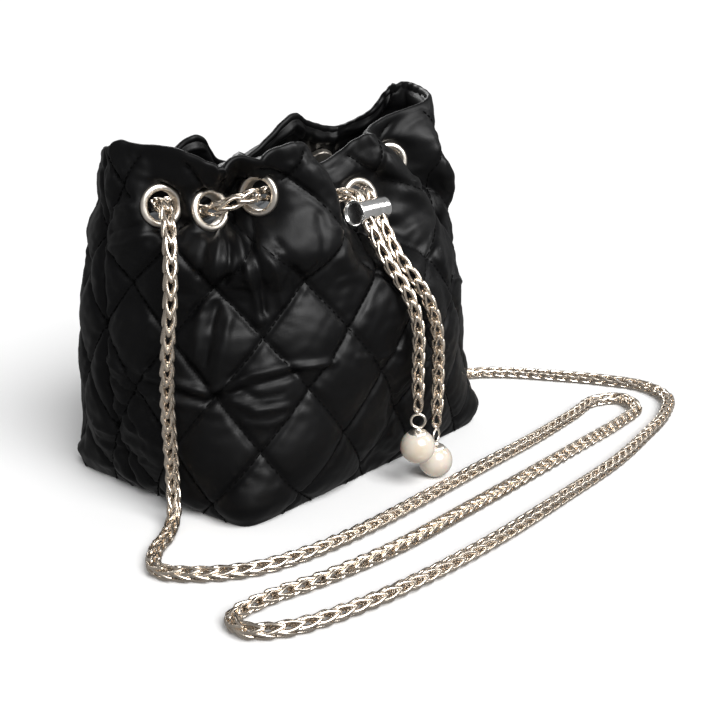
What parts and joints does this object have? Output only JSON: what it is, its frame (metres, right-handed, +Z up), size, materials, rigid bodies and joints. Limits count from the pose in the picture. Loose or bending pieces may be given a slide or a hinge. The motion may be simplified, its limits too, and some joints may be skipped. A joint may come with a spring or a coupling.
{
  "type": "bucket bag",
  "caption": "Quilted leather bucket bag, its eyeletted mouth gathered by a woven-link chain that is also the shoulder strap and ends in a slider and pearl drops.",
  "frame": {"origin": "middle of the base, on the floor", "axes": "+Z up, +X towards the right side seam seen from the front, -Y out of the front, where the chain ends hang"},
  "size_m": [0.3533, 0.2486, 0.1804],
  "materials": {
    "leather": "semi-gloss black",
    "lining": "matt grey",
    "board": "plain fibre board",
    "silver": "satin, slightly warm",
    "chrome": "polished",
    "chain": "polished, slightly warm",
    "pearl": "pearl lustre"
  },
  "bodies": {
    "bag": {"front_panel": "leather", "back_panel": "leather", "facing_front": "leather", "facing_back": "leather", "base_panel": "leather", "base_board": "board", "lining_front": "lining", "lining_back": "lining", "lining_floor": "lining", "eyelet_1": "silver", "eyelet_2": "silver", "eyelet_3": "silver", "eyelet_4": "silver", "eyelet_5": "silver", "eyelet_6": "silver", "eyelet_7": "silver", "eyelet_8": "silver", "eyelet_washer_1": "silver", "eyelet_washer_2": "silver", "eyelet_washer_3": "silver", "eyelet_washer_4": "silver", "eyelet_washer_5": "silver", "eyelet_washer_6": "silver", "eyelet_washer_7": "silver", "eyelet_washer_8": "silver", "chain_inside_1_2": "chain", "chain_outside_2_3": "chain", "chain_inside_3_4": "chain", "chain_inside_5_8": "chain", "strap_chain": "chain", "tail_chain_a": "chain", "tail_chain_b": "chain", "snap_stud": "silver", "snap_socket": "silver"},
    "slider": {"slider": "chrome"},
    "pearl_drop_a": {"pearl_a": "pearl", "pearl_cap_a": "silver", "pearl_ring_a": "silver"},
    "pearl_drop_b": {"pearl_b": "pearl", "pearl_cap_b": "silver", "pearl_ring_b": "silver"}
  },
  "joints": [
    {"name": "slider_travel", "type": "slide", "parent": "bag", "child": "slider", "axis": [0, -0.5602, -0.8283], "range_m": [0, 0.016]},
    {"name": "pearl_a_swing", "type": "hinge", "parent": "bag", "child": "pearl_drop_a", "pos_m": [-0.0048, -0.091, 0.0386], "axis": [1, 0, 0], "range_deg": [-30, 25]},
    {"name": "pearl_b_swing", "type": "hinge", "parent": "bag", "child": "pearl_drop_b", "pos_m": [0.0128, -0.089, 0.0253], "axis": [1, 0, 0], "range_deg": [-15, 25]}
  ]
}
